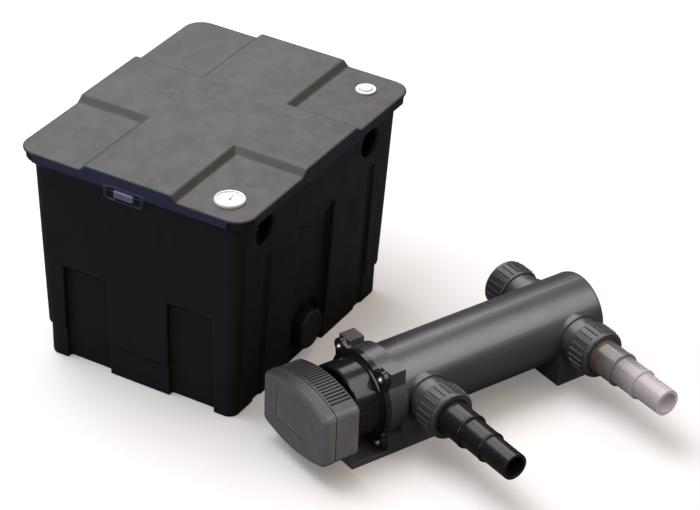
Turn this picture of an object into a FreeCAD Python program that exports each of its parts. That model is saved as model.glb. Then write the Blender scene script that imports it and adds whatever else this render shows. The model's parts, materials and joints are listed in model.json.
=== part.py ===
import FreeCAD, Part
import os, math
import Sketcher

# Garden pond filter kit: a gravity flow-through box filter and the in-line UV clarifier that
# feeds it, standing beside each other.  Millimetres, +Z up.  The origin is the centre of the
# box's flat base; +X is the side with the hose ports and the drain, -Y is the front, and the
# lid latches are on -Y and +Y.
# The clarifier is drawn in its own local frame (X = port direction, Y = along the tube from
# the lamp head to the closed end, Z = up, origin on the floor under the flange joint) and
# then placed beside the box.

Vector = FreeCAD.Vector
Rotation = FreeCAD.Rotation
Placement = FreeCAD.Placement
doc = FreeCAD.newDocument("pond_filter")
sheet = doc.addObject("Spreadsheet::Sheet", "Sizes")

# ---------------------------------------------------------------- driving dimensions
DIMENSIONS = {
    # lid, and the rim of the tub inside it
    "lid_len": 440, "lid_wide": 360, "lid_round": 28, "lid_low": 330, "lid_high": 338.5,
    "skirt_low": 315, "corner_gap": 27, "corner_top": 325.5, "lid_wall": 3.5, "rim_gap": 0.5,
    "cross_x_top": 67, "cross_x_low": 75.5, "cross_y_top": 65, "cross_y_low": 75.5,
    # tub
    "tub_wall": 4, "tub_floor": 6, "foot_high": 49, "foot_step": 3,
    "base_half_x": 151, "base_half_y": 193, "body_half_x": 166, "body_half_y": 206,
    "body_high": 302, "body_round": 20, "rim_low": 314,
    # sunk panels, grooves and recesses in the tub walls
    "panel_in": 48, "panel_out": 119, "panel_high": 156, "panel_deep": 11,
    "groove_front": -133, "groove_back": 137, "groove_wide": 19, "groove_high": 240,
    "groove_deep": 5,
    "recess_front": -53, "recess_back": 39, "recess_high": 236, "recess_deep": 9,
    # hose ports and drain opening in the +X wall
    "port_bore": 21, "port_front_y": -144, "port_front_z": 280,
    "port_back_y": 128, "port_back_z": 279,
    "port_seat_x": 164, "port_boss_x": 156, "port_boss_r": 28,
    "drain_y": -8, "drain_z": 46, "drain_seat": 139.6, "drain_hole": 20,
    # latches
    "latch_x": -5, "tab_left": 32, "tab_right": 31, "tab_low": 301, "tab_top": 320,
    "tab_out": 2.5, "latch_half": 15, "latch_pin_r": 1.5, "latch_bore": 1.55,
    "latch_z": 314.8, "latch_hub": 3,
    # thermometer and level indicator
    "thermo_x": 130, "thermo_y": -176, "thermo_r": 21, "thermo_face": 18.5,
    "gauge_x": 130, "gauge_y": 173, "gauge_r": 14.5, "gauge_bore": 10.3,
    # drain fittings
    "cap_r": 29.5, "cap_back": 147.2, "cap_front": 161.4, "spout_r": 21.95, "spout_bore": 15,
    # clarifier: where it stands
    "uv_x": 314.0, "uv_y": -130.6, "uv_yaw": -23.7, "axis_z": 72,
    # clarifier: tube, flange and its screws
    "tube_r": 55, "tube_len": 371, "tube_wall": 4, "collar_r": 63, "collar_len": 27,
    "lug_circle": 68.3, "lug_x": 46.5, "lug_rise": 50, "lug_half": 11.5, "lug_len": 24,
    "ear_r": 11.3, "ear_len": 8, "screw_hole": 2.75, "screw_r": 2.5,
    "neck_r": 54.5, "neck_end": -46,
    # clarifier: ports, unions and hose tails
    "inlet_along": 65, "outlet_along": 323, "spigot_r": 31, "spigot_end": 73,
    "thread_r": 29.5, "thread_end": 96,
    "union_bore": 22, "nut_r": 36, "nut_back": 73.5, "nut_front": 109, "nut_hole": 25.1,
    "tail_one": 25, "tail_two": 22, "tail_three": 19, "tail_bore": 14.5, "tail_end": 240,
    # clarifier: lamp head
    "head_half": 69.5, "head_corner": 37.5, "head_top": 15, "head_bottom": 12,
    "head_front": -114, "head_split": -95, "head_back": -56, "head_wall": 3,
    # clarifier: feet and quartz sleeve
    "foot_half": 54, "front_foot_start": 25, "front_foot_end": 88,
    "rear_foot_start": 295, "rear_foot_end": 365, "plate_tip": -54, "plate_top": 8.5,
    "sleeve_r": 22, "sleeve_wall": 1.5, "sleeve_end": 352,
}


class Size:
    """A size: its number, and the spreadsheet expression that gives it."""
    def __init__(self, value, text):
        self.value = float(value)
        self.text = text

    @staticmethod
    def of(a):
        if isinstance(a, Size):
            return a
        return Size(a, ("%.6f" if a >= 0 else "(%.6f)") % a)

    def __add__(self, other):
        other = Size.of(other)
        return Size(self.value + other.value, "(%s + %s)" % (self.text, other.text))

    def __sub__(self, other):
        other = Size.of(other)
        return Size(self.value - other.value, "(%s - %s)" % (self.text, other.text))

    def __mul__(self, other):
        other = Size.of(other)
        return Size(self.value * other.value, "(%s * %s)" % (self.text, other.text))

    def __rmul__(self, other):
        return Size.of(other) * self

    def __truediv__(self, other):
        other = Size.of(other)
        return Size(self.value / other.value, "(%s / %s)" % (self.text, other.text))

    def __neg__(self):
        return Size(-self.value, "(0 - %s)" % self.text)


class Dimensions:
    """Holds each spreadsheet dimension as a Size attribute."""


dim = Dimensions()
for row, (alias, value) in enumerate(DIMENSIONS.items(), start=1):
    sheet.set("A%d" % row, alias)
    sheet.set("B%d" % row, str(value))
    sheet.setAlias("B%d" % row, alias)
    setattr(dim, alias, Size(value, "Sizes." + alias))
doc.recompute()


# ---------------------------------------------------------------- binding and placing
def number(a):
    return a.value if isinstance(a, Size) else float(a)


def span(a, b):
    """Two sizes, the lower first."""
    return sorted((a, b), key=number)


def bind(obj, prop, a):
    if isinstance(a, Size):
        obj.setExpression(prop, a.text)


def assign(obj, prop, a):
    """Set a length property and bind it to its expression."""
    setattr(obj, prop, number(a))
    bind(obj, prop, a)


def put(obj, x=0, y=0, z=0, turn=None):
    """Placement with bound position."""
    obj.Placement = Placement(Vector(number(x), number(y), number(z)), turn or Rotation())
    bind(obj, "Placement.Base.x", x)
    bind(obj, "Placement.Base.y", y)
    bind(obj, "Placement.Base.z", z)
    return obj


TO_X = Rotation(Vector(0, 1, 0), 90)       # local Z -> X
TO_MINUS_X = Rotation(Vector(0, 1, 0), -90)    # local Z -> -X
TO_Y = Rotation(Vector(1, 0, 0), -90)      # local Z -> Y
YZ_ALONG_X = Rotation(Vector(1, 1, 1), 120)    # profile (x, y) -> (Y, Z), extruded along +X
ZX_ALONG_Y = Rotation(Vector(1, 1, 1), 240)    # profile (x, y) -> (Z, X), extruded along +Y
YAW = Rotation(Vector(0, 0, 1), dim.uv_yaw.value)
YAW_COS = math.cos(math.radians(dim.uv_yaw.value))
YAW_SIN = math.sin(math.radians(dim.uv_yaw.value))


def put_uv(obj, x=0, y=0, z=0, turn=None):
    """Place a clarifier piece drawn in the clarifier's local frame."""
    x, y = Size.of(x), Size.of(y)
    return put(obj, dim.uv_x + x * YAW_COS - y * YAW_SIN, dim.uv_y + x * YAW_SIN + y * YAW_COS,
               z, YAW * (turn or Rotation()))


pieces = {}


def finish(label, obj):
    """Label a finished piece and list it for export."""
    obj.Label = label
    pieces[label] = obj


# ---------------------------------------------------------------- primitives and booleans
def box(x_low, x_high, y_low, y_high, z_low, z_high):
    block = doc.addObject("Part::Box", "Block")
    for prop, low, high in (("Length", x_low, x_high), ("Width", y_low, y_high),
                            ("Height", z_low, z_high)):
        assign(block, prop, Size.of(high) - Size.of(low))
    return put(block, x_low, y_low, z_low)


def cylinder(radius, length, x=0, y=0, z=0, turn=None):
    obj = doc.addObject("Part::Cylinder", "Round")
    assign(obj, "Radius", radius)
    assign(obj, "Height", length)
    return put(obj, x, y, z, turn)


def fuse(*parts):
    if len(parts) == 1:
        return parts[0]
    join = doc.addObject("Part::MultiFuse", "Join")
    join.Shapes = list(parts)
    return join


def cut(base, *tools):
    obj = doc.addObject("Part::Cut", "Cut")
    obj.Base = base
    obj.Tool = fuse(*tools)
    return obj


def common(*parts):
    obj = doc.addObject("Part::MultiCommon", "Meet")
    obj.Shapes = list(parts)
    return obj


def rounded(base, radius, pick):
    """Fillet the edges of base that pick accepts."""
    doc.recompute()
    fillet = doc.addObject("Part::Fillet", "Fillet")
    fillet.Base = base
    fillet.Edges = [(i + 1, radius, radius) for i, edge in enumerate(base.Shape.Edges)
                    if pick(edge)]
    return fillet


# ---------------------------------------------------------------- sketches
def origin_feature(body, role):
    return [f for f in body.Origin.OriginFeatures if f.Role == role][0]


def sketch_on(body, plane, offset=0):
    sketch = body.newObject("Sketcher::SketchObject", "Profile")
    sketch.AttachmentSupport = (origin_feature(body, plane), [""])
    sketch.MapMode = "FlatFace"
    if number(offset):
        sketch.AttachmentOffset = Placement(Vector(0, 0, number(offset)), Rotation())
        bind(sketch, "AttachmentOffset.Base.z", offset)
    return sketch


def pin_start(sketch, line, x, y):
    """Fix a line's start at (x, y) with driven dimensions from the origin."""
    for kind, axis, a in (("DistanceX", -2, x), ("DistanceY", -1, y)):
        if abs(number(a)) < 1e-9:
            sketch.addConstraint(Sketcher.Constraint("PointOnObject", line, 1, axis))
        elif number(a) > 0:
            added = sketch.addConstraint(
                Sketcher.Constraint(kind, -1, 1, line, 1, number(a)))
            bind(sketch, "Constraints[%d]" % added, a)
        else:
            added = sketch.addConstraint(
                Sketcher.Constraint(kind, line, 1, -1, 1, -number(a)))
            bind(sketch, "Constraints[%d]" % added, -a)


def polygon(sketch, points):
    total = len(points)
    corners = [Vector(number(x), number(y), 0) for x, y in points]
    for i in range(total):
        sketch.addGeometry(Part.LineSegment(corners[i], corners[(i + 1) % total]), False)
    for i in range(total):
        sketch.addConstraint(Sketcher.Constraint("Coincident", i, 2, (i + 1) % total, 1))
    for i, (x, y) in enumerate(points):
        pin_start(sketch, i, x, y)


def round_rect(sketch, half_x, half_y, radius):
    """Rounded rectangle centred on the sketch origin."""
    far_x, far_y, bend = number(half_x), number(half_y), number(radius)
    near_x, near_y = far_x - bend, far_y - bend
    quarter = math.pi / 2

    def line(x_from, y_from, x_to, y_to):
        return Part.LineSegment(Vector(x_from, y_from, 0), Vector(x_to, y_to, 0))

    def arc(x, y, turns):
        circle = Part.Circle(Vector(x, y, 0), Vector(0, 0, 1), bend)
        return Part.ArcOfCircle(circle, turns * quarter, (turns + 1) * quarter)

    sketch.addGeometry([line(-near_x, -far_y, near_x, -far_y), arc(near_x, -near_y, 3),
                        line(far_x, -near_y, far_x, near_y), arc(near_x, near_y, 0),
                        line(near_x, far_y, -near_x, far_y), arc(-near_x, near_y, 1),
                        line(-far_x, near_y, -far_x, -near_y), arc(-near_x, -near_y, 2)],
                       False)
    rule = Sketcher.Constraint
    for i in range(8):
        sketch.addConstraint(rule("Tangent", i, 2, (i + 1) % 8, 1))
    sketch.addConstraint([rule("Horizontal", 0), rule("Vertical", 2),
                          rule("Horizontal", 4), rule("Vertical", 6)])
    for i in (3, 5, 7):
        sketch.addConstraint(rule("Equal", 1, i))
    for driven, a in ((rule("Radius", 1, bend), radius),
                      (rule("DistanceX", -1, 1, 2, 1, far_x), half_x),
                      (rule("DistanceX", 6, 1, -1, 1, far_x), half_x),
                      (rule("DistanceY", -1, 1, 4, 1, far_y), half_y),
                      (rule("DistanceY", 0, 1, -1, 1, far_y), half_y)):
        added = sketch.addConstraint(driven)
        bind(sketch, "Constraints[%d]" % added, a)


def hexagon(across):
    """Points of a hexagon, given the distance across its flats."""
    radius = Size.of(across) / 2 / math.cos(math.pi / 6)
    return [(radius * math.cos(2 * math.pi * i / 6), radius * math.sin(2 * math.pi * i / 6))
            for i in range(6)]


# ---------------------------------------------------------------- sketched solids
def pad_sketch(body, sketch, length):
    pad = body.newObject("PartDesign::Pad", "Pad")
    pad.Profile = sketch
    assign(pad, "Length", length)
    body.Tip = pad
    return pad


def turned(points, x=0, y=0, z=0, turn=None):
    """Solid of revolution about its own Z; points are (radius, height)."""
    body = doc.addObject("PartDesign::Body", "Turned")
    sketch = sketch_on(body, "XZ_Plane")
    polygon(sketch, points)
    revolution = body.newObject("PartDesign::Revolution", "Revolution")
    revolution.Profile = sketch
    revolution.ReferenceAxis = (sketch, ["V_Axis"])
    revolution.Angle = 360
    body.Tip = revolution
    return put(body, x, y, z, turn)


def prism(points, length, x=0, y=0, z=0, turn=None):
    """Extrusion along its own Z; points are (x, y)."""
    body = doc.addObject("PartDesign::Body", "Prism")
    sketch = sketch_on(body, "XY_Plane")
    polygon(sketch, points)
    pad_sketch(body, sketch, length)
    return put(body, x, y, z, turn)


def slab(half_x, half_y, radius, z_low, z_high):
    """Upright block with rounded corners, centred on Z."""
    body = doc.addObject("PartDesign::Body", "Slab")
    sketch = sketch_on(body, "XY_Plane", z_low)
    round_rect(sketch, half_x, half_y, radius)
    pad_sketch(body, sketch, z_high - z_low)
    return body


def tapered(stations):
    """Ruled loft through rounded rectangles (half x, half y, corner, height)."""
    body = doc.addObject("PartDesign::Body", "Taper")
    sketches = []
    for half_x, half_y, radius, height in stations:
        sketch = sketch_on(body, "XY_Plane", height)
        round_rect(sketch, half_x, half_y, radius)
        sketches.append(sketch)
    loft = body.newObject("PartDesign::AdditiveLoft", "Loft")
    loft.Profile = sketches[0]
    loft.Sections = sketches[1:]
    loft.Ruled = True
    body.Tip = loft
    return body


def add_ribs(body, inner_r, outer_r, wide, z_low, z_high, total):
    """Ring of straight grip ribs added to a turned body."""
    sketch = sketch_on(body, "XY_Plane", z_low)
    half = Size.of(wide) / 2
    polygon(sketch, [(inner_r, -half), (outer_r, -half * 0.6), (outer_r, half * 0.6),
                     (inner_r, half)])
    rib = pad_sketch(body, sketch, z_high - z_low)
    pattern = body.newObject("PartDesign::PolarPattern", "Ribs")
    pattern.Originals = [rib]
    pattern.Axis = (origin_feature(body, "Z_Axis"), [""])
    pattern.Angle = 360
    pattern.Occurrences = total
    body.Tip = pattern


# ---------------------------------------------------------------- box filter: tub
lid_half_x, lid_half_y = dim.lid_wide / 2, dim.lid_len / 2
rim_half_x = lid_half_x - dim.lid_wall - dim.rim_gap
rim_half_y = lid_half_y - dim.lid_wall - dim.rim_gap
rim_round = dim.lid_round - dim.lid_wall - dim.rim_gap
rim_top = dim.lid_low - dim.lid_wall
draft_x = (dim.body_half_x - dim.base_half_x) / dim.body_high
draft_y = (dim.body_half_y - dim.base_half_y) / dim.body_high
foot_x = dim.base_half_x + draft_x * dim.foot_high * 0.5
foot_y = dim.base_half_y + draft_y * dim.foot_high * 0.5
step_x, step_y = foot_x + dim.foot_step, foot_y + dim.foot_step
wall = dim.tub_wall

# stations: half x, half y, corner radius, height
shell = tapered([
    (dim.base_half_x, dim.base_half_y, dim.body_round - 4, 0),
    (foot_x, foot_y, dim.body_round - 3, dim.foot_high),
    (step_x, step_y, dim.body_round - 2, dim.foot_high + 1.5),
    (dim.body_half_x, dim.body_half_y, dim.body_round, dim.body_high),
    (rim_half_x, rim_half_y, rim_round, dim.rim_low),
    (rim_half_x, rim_half_y, rim_round, rim_top)])
hollow = tapered([
    (dim.base_half_x - wall, dim.base_half_y - wall, dim.body_round - 8, dim.tub_floor),
    (foot_x - wall, foot_y - wall, dim.body_round - 7, dim.foot_high),
    (step_x - wall, step_y - wall, dim.body_round - 6, dim.foot_high + 3),
    (dim.body_half_x - wall, dim.body_half_y - wall, dim.body_round - 4, dim.body_high + 1),
    (rim_half_x - wall, rim_half_y - wall, dim.lid_round - 8, dim.rim_low + 1.5),
    (rim_half_x - wall, rim_half_y - wall, dim.lid_round - 8, rim_top + 1)])


def wall_tool(axis, sign, low, high, top, depth, grow, bottom):
    """Prism that sinks a panel into the wall on the given side and follows its draft.
    It spans low to high along the wall; grow thickens it by the wall for the inner side."""
    base, slope = (dim.base_half_x, draft_x) if axis == "x" else (dim.base_half_y, draft_y)

    def face_at(height):
        return base + slope * height + dim.foot_step * 0.6

    grown_top = top + grow
    # profile: distance out from the box's centre, height
    profile = [(face_at(0) - depth - grow, bottom), (face_at(0) + 30, bottom),
               (face_at(top) + 30, grown_top), (face_at(top) - grow, grown_top),
               (face_at(top) - depth - grow, grown_top - depth)]
    start = low - grow
    length = high + grow - start
    if axis == "x":
        points = [(height, out * sign) for out, height in profile]
        return prism(points, length, 0, start, 0, ZX_ALONG_Y)
    points = [(out * sign, height) for out, height in profile]
    return prism(points, length, start, 0, 0, YZ_ALONG_X)


def dip_disc(sign):
    """Disc whose lowest segment makes the recess's top edge dip."""
    dip = 16
    half = (dim.recess_back - dim.recess_front) / 2
    middle = (dim.recess_back + dim.recess_front) / 2
    radius = (half * half + dip * dip) / (2 * dip)
    return cylinder(radius, 60, dim.body_half_x * sign - 30, middle,
                    dim.recess_high - dip + radius, TO_X)


def wall_tools(grow, bottom, dipped):
    """Panels on the Y walls; two grooves and a recess on each X wall."""
    tools = []
    for sign in (1, -1):
        for low, high in ((dim.panel_in, dim.panel_out), (-dim.panel_out, -dim.panel_in)):
            tools.append(wall_tool("y", sign, low, high, dim.panel_high, dim.panel_deep,
                                   grow, bottom))
    for sign in (1, -1):
        for centre in (dim.groove_front, dim.groove_back):
            tools.append(wall_tool("x", sign, centre - dim.groove_wide / 2,
                                   centre + dim.groove_wide / 2, dim.groove_high,
                                   dim.groove_deep, grow, bottom))
        recess = wall_tool("x", sign, dim.recess_front, dim.recess_back, dim.recess_high,
                           dim.recess_deep, grow, bottom)
        tools.append(cut(recess, dip_disc(sign)) if dipped else recess)
    return tools


def at_ports(radius, length, x):
    """A cylinder along X at each of the two hose ports."""
    return [cylinder(radius, length, x, y, z, TO_X)
            for y, z in ((dim.port_front_y, dim.port_front_z),
                         (dim.port_back_y, dim.port_back_z))]


# the flat seat round the drain, set off from the drain's axis
drain_seat_centre = (dim.drain_y + 3, dim.drain_z + 4)
walls = cut(cut(shell, *wall_tools(0, -1.0, True)),
            cut(hollow, *wall_tools(wall, dim.tub_floor - 2, False)))
port_bosses = common(fuse(*at_ports(dim.port_boss_r, 12, dim.port_boss_x)), shell)
drain_boss = common(cylinder(dim.cap_r + 14, 13, dim.drain_seat - 7, *drain_seat_centre, TO_X),
                    shell)
finish("filter_tub", cut(
    fuse(walls, port_bosses, drain_boss),
    cylinder(dim.drain_hole, 60, dim.drain_seat - 40, dim.drain_y, dim.drain_z, TO_X),
    *at_ports(dim.port_bore, 60, dim.port_boss_x - 20),
    *at_ports(dim.port_bore + 2.5, 30, dim.port_seat_x),
    cylinder(dim.cap_r + 8.5, 30, dim.drain_seat, *drain_seat_centre, TO_X)))


# ---------------------------------------------------------------- lid
def cross(inset, z_low, z_top):
    """Raised cross with sloping flanks: one bar along Y and one along X."""
    def profile(low, top):
        return [(-low, z_low - 2), (-low, z_low), (-top, z_top),
                (top, z_top), (low, z_low), (low, z_low - 2)]

    bar_y = prism([(z, x) for x, z in profile(dim.cross_x_low - inset,
                                              dim.cross_x_top - inset)],
                  dim.lid_len + 20, 0, -lid_half_y - 10, 0, ZX_ALONG_Y)
    bar_x = prism(profile(dim.cross_y_low - inset, dim.cross_y_top - inset),
                  dim.lid_wide + 20, -lid_half_x - 10, 0, 0, YZ_ALONG_X)
    return fuse(bar_y, bar_x)


def lid_slab(inset, z_low, z_high):
    return slab(lid_half_x - inset, lid_half_y - inset, dim.lid_round - inset, z_low, z_high)


# latches: tag, side along Y, centre along X
LATCHES = (("front", -1, dim.latch_x), ("rear", 1, -dim.latch_x))


def latch_pin(side, centre):
    return cylinder(dim.latch_pin_r, 56, centre - 28, (lid_half_y - 0.5) * side,
                    dim.latch_z, TO_X)


def make_lid():
    plate = lid_slab(0, dim.skirt_low, dim.lid_low)
    raised = common(cross(0, dim.lid_low, dim.lid_high),
                    lid_slab(0, dim.skirt_low, dim.lid_high + 5))
    under_plate = lid_slab(dim.lid_wall, dim.skirt_low - 1, rim_top)
    under_cross = common(cross(2, rim_top, dim.lid_high - dim.lid_wall),
                         lid_slab(dim.lid_wall, dim.skirt_low - 1, dim.lid_high))
    tabs, windows, pin_holes, corner_gaps = [], [], [], []
    for _, side, centre in LATCHES:
        y_low, y_high = span((lid_half_y + dim.tab_out) * side,
                             (lid_half_y - dim.lid_wall) * side)
        tabs.append(box(centre - dim.tab_left, centre + dim.tab_right, y_low, y_high,
                        dim.tab_low, dim.tab_top))
        windows.append(box(centre - 26, centre + 26, y_low - 1, y_high + 1,
                           dim.tab_low + 2.5, dim.tab_top - 1.5))
        pin_holes.append(latch_pin(side, centre))
    for side_x in (-1, 1):
        for side_y in (-1, 1):
            corner_gaps.append(box(
                *span((lid_half_x - dim.corner_gap) * side_x, (lid_half_x + 5) * side_x),
                *span((lid_half_y - dim.corner_gap) * side_y, (lid_half_y + 5) * side_y),
                dim.skirt_low - 5, dim.corner_top))
    thermo_hole = cylinder(6.1, 30, dim.thermo_x, dim.thermo_y, dim.lid_low - 15)
    gauge_hole = cylinder(12.1, 30, dim.gauge_x, dim.gauge_y, dim.lid_low - 15)
    return cut(fuse(plate, raised, *tabs), under_plate, under_cross,
               *windows, *pin_holes, *corner_gaps, thermo_hole, gauge_hole)


finish("lid", make_lid())

for tag, side, centre in LATCHES:
    finish("latch_pin_" + tag, latch_pin(side, centre))
    pin_y = (lid_half_y - 0.5) * side
    left, right = centre - dim.latch_half, centre + dim.latch_half
    hub = cylinder(dim.latch_hub, dim.latch_half * 2, left, pin_y, dim.latch_z, TO_X)
    paddle = box(left, right, *span(pin_y, pin_y + dim.latch_hub * side),
                 dim.latch_z - 7.4, dim.latch_z)
    bore = cylinder(dim.latch_bore, dim.latch_half * 2 + 2, left - 1, pin_y, dim.latch_z, TO_X)
    finish("lid_latch_" + tag, cut(fuse(hub, paddle), bore))


def lid_nut(label, across, thick, hole_r, x, y):
    """Hexagonal nut under the lid."""
    blank = prism(hexagon(across), thick, x, y, rim_top - thick)
    finish(label, cut(blank, cylinder(hole_r, 10, x, y, rim_top - 8)))


# ---------------------------------------------------------------- thermometer
# profiles: radius, height above the lid's corner face
thermo = (dim.thermo_x, dim.thermo_y)
face = dim.thermo_face
finish("thermometer_case", turned([
    (2.5, -60), (0, -60), (0, 1.2), (0.85, 1.2), (0.85, 1.3), (face, 1.3), (face, 3.4),
    (dim.thermo_r - 1, 4), (dim.thermo_r, 2.6), (dim.thermo_r, 0), (6, 0), (6, -12),
    (2.5, -12)], *thermo, dim.lid_low))
finish("thermometer_dial", turned([
    (0.9, 1.3), (face - 0.1, 1.3), (face - 0.1, 1.8), (0.9, 1.8)], *thermo, dim.lid_low))
finish("thermometer_needle", fuse(
    cylinder(0.8, 0.95, *thermo, dim.lid_low + 1.35),
    cylinder(1.6, 0.35, *thermo, dim.lid_low + 2.0),
    prism([(-0.55, -3.5), (0.55, -3.5), (0.28, 13.5), (-0.28, 13.5)], 0.35,
          *thermo, dim.lid_low + 2.0, Rotation(Vector(0, 0, 1), 10))))
finish("thermometer_lens", turned([
    (0, 2.6), (face - 0.05, 2.6), (face - 0.05, 3.3), (0, 3.7)], *thermo, dim.lid_low))
lid_nut("thermometer_nut", 20, 5, 6.02, *thermo)

# ---------------------------------------------------------------- level indicator
# profiles: radius, height above the lid's corner face
gauge = (dim.gauge_x, dim.gauge_y)
button_r = dim.gauge_bore - 0.05
finish("level_gauge_body", turned([
    (3.05, -12), (12, -12), (12, 0), (dim.gauge_r, 0), (dim.gauge_r, 2.2),
    (dim.gauge_r - 0.8, 3.2), (dim.gauge_bore, 3.2), (dim.gauge_bore, -8), (3.05, -8)],
    *gauge, dim.lid_low))
finish("level_gauge_float", turned([
    (0, -62), (8, -62), (9, -60), (9, -34), (8, -32), (3, -32), (3, -6), (button_r, -6),
    (button_r, 3.9), (dim.gauge_bore - 1.2, 4.8), (0, 4.8)], *gauge, dim.lid_low))
lid_nut("level_gauge_nut", 32, 4, 12.02, *gauge)


# ---------------------------------------------------------------- drain
def drain_turned(points):
    """Turned about the drain's axis; points are (radius, distance out from the seat)."""
    return turned(points, dim.drain_seat, dim.drain_y, dim.drain_z, TO_X)


spout_fit = dim.drain_hole - 0.05
gasket_fit = dim.drain_hole + 0.05
finish("drain_spout", drain_turned([
    (dim.spout_bore, -17), (spout_fit, -17), (spout_fit, 1.5), (26, 1.5), (26, 3.3),
    (dim.spout_r, 3.3), (dim.spout_r, 17), (dim.spout_bore, 17)]))
finish("drain_gasket", drain_turned([(gasket_fit, 0), (26, 0), (26, 1.5), (gasket_fit, 1.5)]))
finish("drain_locknut", cut(
    prism(hexagon(50), 7, dim.drain_seat - 14.2, dim.drain_y, dim.drain_z, TO_X),
    cylinder(dim.drain_hole, 20, dim.drain_seat - 20, dim.drain_y, dim.drain_z, TO_X)))
finish("drain_cap_seal", drain_turned([
    (dim.spout_bore, 17.1), (dim.spout_r - 0.3, 17.1), (dim.spout_r - 0.3, 18.65),
    (dim.spout_bore, 18.65)]))
cap_start, cap_end = dim.cap_back - dim.drain_seat, dim.cap_front - dim.drain_seat
cap = drain_turned([
    (dim.spout_r + 0.05, cap_start), (dim.cap_r - 0.9, cap_start),
    (dim.cap_r - 0.9, cap_end - 2.2), (dim.cap_r - 3, cap_end), (dim.cap_r - 9, cap_end),
    (dim.cap_r - 10, cap_end - 0.8), (0, cap_end - 0.8), (0, cap_end - 3.1),
    (dim.spout_r + 0.05, cap_end - 3.1)])
add_ribs(cap, dim.cap_r - 3, dim.cap_r, 2.4, cap_start + 1, cap_end - 3, 16)
finish("drain_cap", cap)

# ---------------------------------------------------------------- inside the box
partition_y = 60
# outline: height, x
PARTITION_OUTLINE = [(8, -138), (8, 138), (286, 152), (286, -152)]
finish("partition_wall", cut(
    prism(PARTITION_OUTLINE, 4, 0, partition_y, 0, ZX_ALONG_Y),
    box(-110, 110, partition_y - 2, partition_y + 6, 8, 24),
    box(-120, 120, partition_y - 2, partition_y + 6, 268, 290)))

grid_z, grid_thick = 30, 5
grid_top = grid_z + grid_thick


def make_grid():
    """Grid of 8 by 2 openings on six round feet, cut away round the drain."""
    pitch_x, pitch_y, open_x, open_y = 33, 112, 26, 104
    plate = box(-134, 134, -174, 56, grid_z, grid_top)
    openings = []
    for i in range(8):
        for j in range(2):
            x, y = -130 + i * pitch_x, -168 + j * pitch_y
            openings.append(box(x, x + open_x, y, y + open_y, grid_z - 1, grid_top + 1))
    feet = [cylinder(6, grid_z - 6, x, y, 6) for x in (-126, 0, 126) for y in (-166, 46)]
    drain_room = box(98, 140, dim.drain_y - 46, dim.drain_y + 52, 0, dim.drain_z + 40)
    return cut(fuse(cut(plate, *openings), *feet), drain_room)


finish("media_grid", make_grid())

# foam mats: label, bottom, top
for label, z_low, z_high in (("coarse_foam", 116, 160), ("medium_foam", 162, 200),
                             ("fine_foam", 202, 235)):
    finish(label, box(-136, 136, -176, 56, z_low, z_high))


def bio_ball(centre):
    """Ball with a groove round its equator square to each axis."""
    ball = Part.makeSphere(16.5, centre)
    for axis in (Vector(1, 0, 0), Vector(0, 1, 0), Vector(0, 0, 1)):
        start = centre - axis * 1.5
        ring = Part.makeCylinder(18, 3, start, axis).cut(
            Part.makeCylinder(11, 3, start, axis))
        ball = ball.cut(ring)
    return ball


def near_drain(centre):
    """True where the drain's locknut needs the room."""
    return (centre.x > 60 and abs(centre.y - dim.drain_y.value) < 50
            and abs(centre.z - dim.drain_z.value) < 44)


ball_centres = [Vector(-118 + i * 33.6, -157 + j * 38.6, grid_top + 17 + k * 37)
                for i in range(8) for j in range(6) for k in range(2)]
balls = doc.addObject("Part::Feature", "Balls")
balls.Shape = Part.makeCompound([bio_ball(c) for c in ball_centres if not near_drain(c)])
finish("bio_balls", balls)


# ---------------------------------------------------------------- clarifier: shared layout
def tube_cylinder(radius, length, y):
    """Cylinder on the tube's axis, in the local frame."""
    return cylinder(radius, length, 0, y, dim.axis_z, TO_Y)


def tube_turned(points):
    """Turned on the tube's axis; points are (radius, local Y)."""
    return turned(points, 0, 0, dim.axis_z, TO_Y)


def finish_tube_turned(label, points):
    finish(label, put_uv(turned(points), 0, 0, dim.axis_z, TO_Y))


# the four flange screws, in the local frame: x, z
SCREW_PLACES = [(dim.lug_x * side_x, dim.axis_z + dim.lug_rise * side_z)
                for side_x in (-1, 1) for side_z in (-1, 1)]
# ports: name, place along the tube, side along local X
PORTS = (("inlet", dim.inlet_along, 1), ("outlet", dim.outlet_along, 1),
         ("blank", dim.outlet_along, -1))
AIM = {1: TO_X, -1: TO_MINUS_X}


# ---------------------------------------------------------------- clarifier: housing
def make_housing():
    tube = tube_turned([
        (0, dim.tube_len), (dim.tube_r - 5, dim.tube_len),
        (dim.tube_r - 1.4, dim.tube_len - 1.6), (dim.tube_r, dim.tube_len - 6),
        (dim.tube_r, dim.collar_len + 6), (dim.tube_r + 2.5, dim.collar_len + 5),
        (dim.tube_r + 2.5, dim.collar_len), (dim.collar_r, dim.collar_len),
        (dim.collar_r, 0), (0, 0)])
    lugs, lug_holes = [], []
    for x, z in SCREW_PLACES:
        lugs.append(box(x - dim.lug_half, x + dim.lug_half, 0, dim.lug_len,
                        z - dim.lug_half, z + dim.lug_half))
        lug_holes.append(cylinder(dim.screw_hole, dim.lug_len + 2, x, -1, z, TO_Y))
        lug_holes.append(prism(hexagon(8.4), 8, x, dim.lug_len - 6, z, TO_Y))
    spigots, bores = [], []
    start = 20
    for _, along, side in PORTS:
        place = (start * side, along, dim.axis_z, AIM[side])
        spigots.append(cylinder(dim.spigot_r + 2.5, dim.spigot_end - 38, *place))
        spigots.append(cylinder(dim.spigot_r, dim.spigot_end - start, *place))
        spigots.append(cylinder(dim.thread_r, dim.thread_end - start, *place))
        bores.append(cylinder(dim.union_bore, dim.thread_end - 10, *place))
    inside = tube_cylinder(dim.tube_r - dim.tube_wall, dim.tube_len - 6, 0)
    return cut(fuse(tube, *lugs, *spigots), *bores, inside, *lug_holes)


finish("uv_housing", put_uv(make_housing()))


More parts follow.
